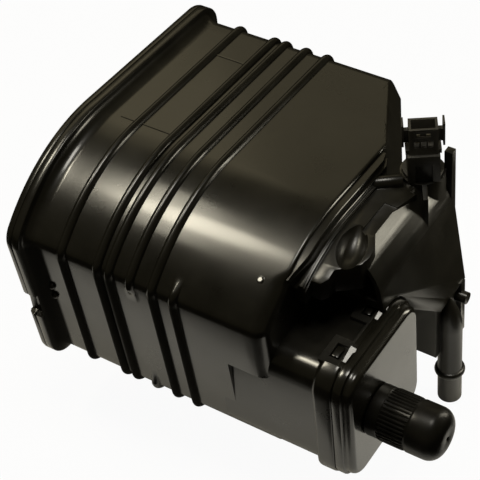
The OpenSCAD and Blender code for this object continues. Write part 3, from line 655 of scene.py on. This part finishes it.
def shell_piece():
    parts = [shell_skin(), box_skin()]
    # Lines of the mould on the flat top
    for x0, x1, y in MOULD_LINES:
        low, high = top_at(y) - LINE_ROOT, top_at(y) + LINE_H
        parts.append(bar("line", (x0, y - LINE_HALF, low), (x1, y + LINE_HALF, high)))
    outline = ((-CROSS_HALF, -LINE_ROOT), (-CROSS_HALF, CROSS_H),
               (CROSS_HALF, CROSS_H), (CROSS_HALF, -LINE_ROOT))
    ends = [place([(CROSS_LINE_X + x, y, top_at(y) + h) for x, h in outline]) for y in CROSS_LINE_Y]
    parts.append(mesh_of("line", *loft(ends)))
    # Two small bosses beside the flange, the gate mark on the crown and the ledge at the end
    for z in BOSS_Z:
        parts.append(ball("boss", (BOSS_X, FRONT_LEAN * (1 - z / NOSE_Z), z), BOSS_R))
    parts += [gate_nub(), end_ledge()]
    # Snap wedges for the windows of the lid's tabs
    for y in TAB_MIDDLES:
        low, high = (WEDGE_X[0], y - WEDGE_HALF, WEDGE_Z[0]), (WEDGE_X[1], y + WEDGE_HALF, WEDGE_Z[1])
        parts.append(bar("wedge", low, high, WEDGE_EDGE))
    mesh = join_meshes("canister_shell", parts)
    settle(finish_mesh("canister_shell", mesh), "canister_body")


shell_piece()


# Snap lid with two window tabs

def tab_plate():
    """Two snap tabs with a window and a slot each, joined by a bridge along the lid."""
    xs = (TAB_X, *WINDOW_X, *SLOT_X, LID_X + 4)
    across = (-TAB_W / 2, -WINDOW_HALF, WINDOW_HALF, TAB_W / 2)
    ys = [middle + d for middle in TAB_MIDDLES for d in across]
    bm = bmesh.new()
    grid = {(i, j, k): bm.verts.new(place([(x, y, z)])[0])
            for i, x in enumerate(xs) for j, y in enumerate(ys) for k, z in enumerate(TAB_Z)}
    windows, slots, between = {(1, 1), (1, 5)}, {(3, 1), (3, 5)}, {(0, 3), (1, 3)}
    cells = {(i, j) for i in range(len(xs) - 1) for j in range(len(ys) - 1)} - windows - slots - between
    for i, j in sorted(cells):
        bm.faces.new([grid[i, j, 1], grid[i + 1, j, 1], grid[i + 1, j + 1, 1], grid[i, j + 1, 1]])
        bm.faces.new([grid[i, j + 1, 0], grid[i + 1, j + 1, 0], grid[i + 1, j, 0], grid[i, j, 0]])
        for di, dj, a, b in ((-1, 0, (i, j + 1), (i, j)), (1, 0, (i + 1, j), (i + 1, j + 1)),
                             (0, -1, (i, j), (i + 1, j)), (0, 1, (i + 1, j + 1), (i, j + 1))):
            if (i + di, j + dj) not in cells:
                bm.faces.new([grid[(*a, 0)], grid[(*b, 0)], grid[(*b, 1)], grid[(*a, 1)]])
    bmesh.ops.delete(bm, geom=[v for v in bm.verts if not v.link_faces], context="VERTS")
    round_edges(bm, [e for e in bm.edges if len(e.link_faces) == 2 and e.calc_face_angle() > 0.5], TAB_EDGE)
    return mesh_from(bm, "tabs")


def catch(y):
    """Sloped catch in the slot of a tab."""
    x0, x1, half = SLOT_X[0] + CATCH_GAP, SLOT_X[1] - CATCH_GAP, WINDOW_HALF - CATCH_GAP
    corners = [(x0, -half), (x1, -half), (x1, half), (x0, half)]
    along, across = CATCH_SLOPE
    lower = [(x, y + d, CATCH_Z[0]) for x, d in corners]
    upper = [(x, y + d, CATCH_Z[1] + across * d + along * (x - SLOT_X[0])) for x, d in corners]
    return mesh_of("catch", *loft([place(lower), place(upper)]))


def lid_skin():
    """Rim, step and rounded face of the lid, grown from the section of the filter box."""
    pts, nrm = box_outline()
    rim = [(-1.2, 0.0), (-1.2, 2.7), (-1.0, 3.05), (-0.6, RIM_GROW), (3.6, RIM_GROW), (4.2, 3.05), (4.5, 2.6),
           (4.6, 1.9), (4.8, 1.5), (5.3, 1.3), (6.2, LID_GROW)]
    prof = [(LID_X + x, g) for x, g in rim]
    for a in np.radians(range(0, 91, 9)):
        short, drop = FACE_ROUND[0] * (1 - math.sin(a)), FACE_ROUND[1] * (1 - math.cos(a))
        prof.append((FACE_X - short, LID_GROW - drop))
    prof += [(FACE_X, -2.9), (FACE_X, -6.0)]
    return mesh_of("lid", *loft(rings_of(pts, nrm, prof)))


def vent_tube():
    end = FACE_X + TUBE_LEN
    prof = ((FACE_X - 2, TUBE_R), (end, TUBE_R), (end, TUBE_BORE_R), (FACE_X - 1, TUBE_BORE_R))
    return mesh_of("tube", *loft([vent_ring(x, r, TUBE_STEPS) for x, r in prof]))


def lid_piece():
    parts = [lid_skin(), tab_plate(), *(catch(y) for y in TAB_MIDDLES), vent_tube()]
    mesh = join_meshes("snap_lid", parts)
    settle(finish_mesh("snap_lid", mesh), "filter_lid")


lid_piece()


# Knurled cap: a turned body, with its grip ridges set around it by a node tree

def ridge_tree():
    """Ridges along X with rounded ends, in a circle."""
    tree, gin, gout = node_group(
        "grip_ridges", "GeometryNodeTree",
        [("Geometry", "Geometry"), ("Count", "Int"), ("Grip Radius", "Float"), ("Ridge Radius", "Float"),
         ("Length", "Float"), ("Axis Start", "Vector"), ("Finish", "Material")],
        [("Geometry", "Geometry")])
    given = gin.outputs

    def add(kind, inputs):
        return add_node(tree, kind, inputs).outputs[0]

    circle = add("GeometryNodeMeshCircle", {"Vertices": given["Count"], "Radius": given["Grip Radius"]})
    around = add("GeometryNodeTransform", {"Geometry": circle, "Rotation": (0, math.radians(90), 0),
                                           "Translation": given["Axis Start"]})
    end = add("ShaderNodeCombineXYZ", {"X": given["Length"]})
    stick = add("GeometryNodeCurvePrimitiveLine", {"End": end})
    fine = add("GeometryNodeResampleCurve", {"Curve": stick, "Count": RIDGE_ROWS})
    along = tree.nodes.new("GeometryNodeSplineParameter").outputs["Factor"]
    off_middle = math_node(tree, "SUBTRACT", math_node(tree, "MULTIPLY", along, 2.0), 1.0)
    steep = math_node(tree, "POWER", math_node(tree, "ABSOLUTE", off_middle), TAPER_POWER)
    lost = math_node(tree, "MULTIPLY", steep, TAPER_SHARE)
    taper = math_node(tree, "SQRT", math_node(tree, "SUBTRACT", 1.0, lost))
    ring = add("GeometryNodeCurvePrimitiveCircle", {"Resolution": RIDGE_SIDES,
                                                    "Radius": given["Ridge Radius"]})
    ridge = add("GeometryNodeCurveToMesh", {"Curve": fine, "Profile Curve": ring, "Scale": taper,
                                            "Fill Caps": True})
    spread = add("GeometryNodeInstanceOnPoints", {"Points": around, "Instance": ridge})
    real = add("GeometryNodeRealizeInstances", {"Geometry": spread})
    painted = add("GeometryNodeSetMaterial", {"Geometry": real, "Material": given["Finish"]})
    tree.links.new(painted, gout.inputs[0])
    return tree


def node_mesh(tree, values):
    """The plain mesh that a node tree gives for these named inputs."""
    carrier = linked(tree.name, bpy.data.meshes.new(tree.name))
    mod = carrier.modifiers.new("tree", "NODES")
    mod.node_group = tree
    for item in tree.interface.items_tree:
        if item.item_type == "SOCKET" and item.in_out == "INPUT" and item.name in values:
            mod[item.identifier] = values[item.name]
    mesh = evaluated_mesh(carrier)
    carrier.modifiers.clear()
    bpy.data.objects.remove(carrier)
    return mesh


def turned_cap():
    """The cap's body, turned from points given by distance from its foot and radius."""
    skirt = [(0.3, 12.2), (0.0, 12.6), (0.0, CAP_R - 0.9), (0.25, CAP_R - 0.5), (0.8, CAP_R - 0.3),
             (7.2, CAP_R - 0.35)]
    grip = [(7.6, GRIP_R), (24.8, GRIP_R)]
    shoulder = [(25.3, CAP_R - 0.6), (25.9, CAP_R - 0.15), (26.5, CAP_R), (31.0, CAP_R),
                (CAP_LEN - CAP_NOSE, CAP_R)]
    nose = [(CAP_LEN - CAP_NOSE * (1 - math.sin(a)), CAP_R - CAP_NOSE * (1 - math.cos(a)))
            for a in np.radians(range(8, 91, 8))]
    dimple = [(CAP_LEN, CAP_R - CAP_NOSE - 0.5), (CAP_LEN, 2.2), (CAP_LEN - 0.2, 1.5), (CAP_LEN - 0.8, 1.3),
              (CAP_LEN - 9, 1.3)]
    rings = [vent_ring(CAP_X + x, r, CAP_STEPS) for x, r in skirt + grip + shoulder + nose + dimple]
    return mesh_of("cap", *loft(rings, cap_first=False))


def cap_piece():
    ridges = node_mesh(ridge_tree(), {
        "Count": RIDGE_COUNT, "Grip Radius": GRIP_R / MM_PER_M, "Ridge Radius": RIDGE_R / MM_PER_M,
        "Length": (GRIP_X[1] - GRIP_X[0]) / MM_PER_M, "Finish": cap_black,
        "Axis Start": tuple(place([(CAP_X + GRIP_X[0], VENT_Y, VENT_Z)])[0])})
    ridges.materials.clear()
    mesh = join_meshes("grip_cap", [turned_cap(), ridges])
    settle(finish_mesh("grip_cap", mesh), "vent_cap")


cap_piece()


# Pieces whose solid is right, with their moulded edges rounded

EDGE_ANGLE, SMOOTH_ANGLE, FLAT_ANGLE, SAME_POINT = 32.0, 40.0, 0.4, 2e-6


def eased(node, name, width, notch=None):
    """A copy of a node's solid with rounded edges and, where given, a notch between two corners."""
    bm = bmesh.new()
    bm.from_mesh(NODES[node].data)
    bmesh.ops.remove_doubles(bm, verts=bm.verts[:], dist=SAME_POINT)
    bmesh.ops.dissolve_limit(bm, angle_limit=math.radians(FLAT_ANGLE), verts=bm.verts[:], edges=bm.edges[:])
    obj = finish_mesh(name, mesh_from(bm, name), sharp=EDGE_ANGLE)
    helpers = [obj]
    if notch:
        cutter = linked("notch", bar("notch", *notch))
        helpers.append(cutter)
        cut = obj.modifiers.new("notch", "BOOLEAN")
        cut.operation = "DIFFERENCE"
        cut.object = cutter
    edge = obj.modifiers.new("edge", "BEVEL")
    edge.limit_method = "ANGLE"
    edge.angle_limit = math.radians(EDGE_ANGLE)
    edge.width = width / MM_PER_M
    edge.segments = 2
    edge.use_clamp_overlap = True
    edge.harden_normals = False
    soft = evaluated_mesh(obj)
    for helper in helpers:
        bpy.data.objects.remove(helper)
    settle(finish_mesh(name, soft, sharp=SMOOTH_ANGLE), node)


eased("end_cover", "welded_cover", 0.7,
      notch=((-2.0, -20.0, NOTCH_Z[0]), (7.0, NOTCH_Y, NOTCH_Z[1])))
eased("side_housing", "side_chamber", 0.9)
eased("valve_body", "vent_valve", 0.4)


# Floor, light and camera, in metres in the shared frame

FLOOR_Z, FLOOR_HALF = -0.0555, 6.0
# The white sheet glows in mirrored rays, a painted reflection of a lit sheet; painted shade dims it under the
# part
SHEET_X, SHEET_Y, SHEET_SKEW, SHEET_SOFT = (-0.5, 0.187), (-0.17, 0.09), 0.06, 0.003
SHADE_X, SHADE_Y, SHADE_SOFT = (-0.5, 0.11), (-0.145, 0.2), (0.012, 0.02)
SHADE_DEPTH, PAINTED_SHEET_GLOW, CAMERA_GLOW = 0.85, 0.5, 0.95
# Beside the sheet the floor is painted dark for all but camera rays, a painted shade
SHEET_WHITE, PAINTED_SHADE_BESIDE_SHEET = (0.88, 0.87, 0.84, 1), (0.02, 0.019, 0.016, 1)
WHITE, WARM_WHITE = (1, 1, 1, 1), (1, 0.965, 0.86, 1)
ROOM_TINT, ROOM_STRENGTH = (1, 0.88, 0.56, 1), 0.06
PANEL_AIM = Vector((0.0, 0.0, 0.08))
KEY_TINT, BACK_TINT = (1, 0.93, 0.74), (1, 0.87, 0.56)
CAMERA_AT = (0.4015, -0.5714, 0.7706)
CAMERA_RIGHT, CAMERA_BACK = Vector((0.8375, 0.5394, -0.0874)), Vector((0.4341, -0.5597, 0.7059))


def stage_floor():
    """White floor to the camera; beside a white sheet it is painted dark for other rays, and mirrored rays
    see a painted glow on the sheet, dimmed by painted shade under the part.
    """
    mat, tree, bsdf = new_material("pale_floor")

    def times(a, b):
        return math_node(tree, "MULTIPLY", a, b)

    axes = object_axes(tree)
    x, y = axes["X"], axes["Y"]
    rays = tree.nodes.new("ShaderNodeLightPath").outputs
    camera_ray = rays["Is Camera Ray"]
    mirrored = math_node(tree, "MAXIMUM", rays["Is Glossy Ray"], rays["Is Transmission Ray"])
    skewed = math_node(tree, "SUBTRACT", y, times(x, SHEET_SKEW))
    sheet = times(within(tree, x, *SHEET_X, SHEET_SOFT), within(tree, skewed, *SHEET_Y, SHEET_SOFT))
    # Painted shade dims the sheet's glow under the part
    shade = times(within(tree, x, *SHADE_X, SHADE_SOFT[0]), within(tree, y, *SHADE_Y, SHADE_SOFT[1]))
    open_sheet = times(sheet, math_node(tree, "SUBTRACT", 1.0, times(shade, SHADE_DEPTH)))
    # Painted reflection: mirrored rays see the sheet glow as if it were lit white
    bright = times(times(mirrored, open_sheet), PAINTED_SHEET_GLOW)
    seen = math_node(tree, "MAXIMUM", times(camera_ray, CAMERA_GLOW), bright)
    # Beside the sheet the colour is painted dark for all but camera rays, a painted shade
    white_here = math_node(tree, "MAXIMUM", sheet, camera_ray)
    tree.links.new(mix_node(tree, "RGBA", white_here, PAINTED_SHADE_BESIDE_SHEET, SHEET_WHITE), bsdf.inputs["Base Color"])
    bsdf.inputs["Roughness"].default_value = 0.9
    bsdf.inputs["Specular IOR Level"].default_value = 0.0
    glow_tint = mix_node(tree, "RGBA", camera_ray, WARM_WHITE, WHITE)
    glow = add_node(tree, "ShaderNodeEmission", {"Color": glow_tint, "Strength": 1.0})
    mix = add_node(tree, "ShaderNodeMixShader", {0: seen, 1: bsdf.outputs[0], 2: glow.outputs[0]})
    tree.links.new(mix.outputs[0], tree.nodes["Material Output"].inputs["Surface"])
    corners = [(sx * FLOOR_HALF, sy * FLOOR_HALF, FLOOR_Z) for sx, sy in ((-1, -1), (1, -1), (1, 1), (-1, 1))]
    mesh = mesh_of("floor", corners, [(0, 1, 2, 3)])
    mesh.materials.append(mat)
    floor = linked("floor", mesh)


def turned(at, right, back):
    """Matrix of a lamp or a camera at a place, with its right side and its back towards two directions."""
    back = back.normalized()
    up = back.cross(right).normalized()
    return Matrix.Translation(at) @ Matrix((up.cross(back), up, back)).transposed().to_4x4()


def panel(name, at, along, size, radiance, tint, shape="RECTANGLE"):
    """A soft light panel that faces the part, with its first side along the given direction."""
    lamp = bpy.data.lights.new(name, "AREA")
    lamp.shape = shape
    lamp.size, lamp.size_y = size
    area = size[0] * size[1] * (math.pi / 4 if shape == "ELLIPSE" else 1.0)
    lamp.energy = radiance * math.pi * area
    lamp.color = tint
    linked(name, lamp).matrix_world = turned(at, Vector(along), Vector(at) - PANEL_AIM)


def set_world():
    """Dim warm room, white where the camera looks past the floor."""
    world = bpy.data.worlds.new("studio")
    bpy.context.scene.world = world
    world.use_nodes = True
    tree = world.node_tree
    dim = tree.nodes["Background"]
    dim.inputs["Color"].default_value = ROOM_TINT
    dim.inputs["Strength"].default_value = ROOM_STRENGTH
    white = add_node(tree, "ShaderNodeBackground", {"Strength": 1.0})
    camera_ray = tree.nodes.new("ShaderNodeLightPath").outputs["Is Camera Ray"]
    mix = add_node(tree, "ShaderNodeMixShader", {0: camera_ray, 1: dim.outputs[0], 2: white.outputs[0]})
    tree.links.new(mix.outputs[0], tree.nodes["World Output"].inputs["Surface"])


def set_camera():
    cam = bpy.data.cameras.new("camera")
    cam.sensor_width = 36.0
    cam.lens = 119.2
    cam.clip_start, cam.clip_end = 0.05, 30.0
    obj = linked("camera", cam)
    obj.matrix_world = turned(CAMERA_AT, CAMERA_RIGHT, CAMERA_BACK)
    bpy.context.scene.camera = obj


stage_floor()
set_world()
panel("key_softbox", (-0.705, -0.19, 1.46), (0.56, 0.77, 0.32), (0.32, 0.21), 23.0, KEY_TINT, "ELLIPSE")
panel("wide_softbox", (-0.765, -0.17, 1.44), (0.0, 1.0, 0.09), (0.8, 0.16), 13.0, KEY_TINT, "ELLIPSE")
panel("top_panel", (0.05, -0.02, 1.6), (1.0, 0.0, 0.0), (0.45, 0.45), 14.0, (1, 0.96, 0.86))
panel("back_panel", (-1.1, 0.72, 1.2), (0.55, 0.84, 0.0), (1.1, 0.42), 0.6, BACK_TINT)
panel("low_back_panel", (-0.68, 1.23, 1.02), (0.87, 0.49, 0.0), (1.6, 0.5), 0.42, BACK_TINT)
panel("right_panel", (0.22, 0.15, 0.15), (0.68, -0.73, 0.0), (0.065, 0.18), 10.0, (1, 0.94, 0.76))
set_camera()
bpy.context.scene.view_settings.view_transform = "Standard"
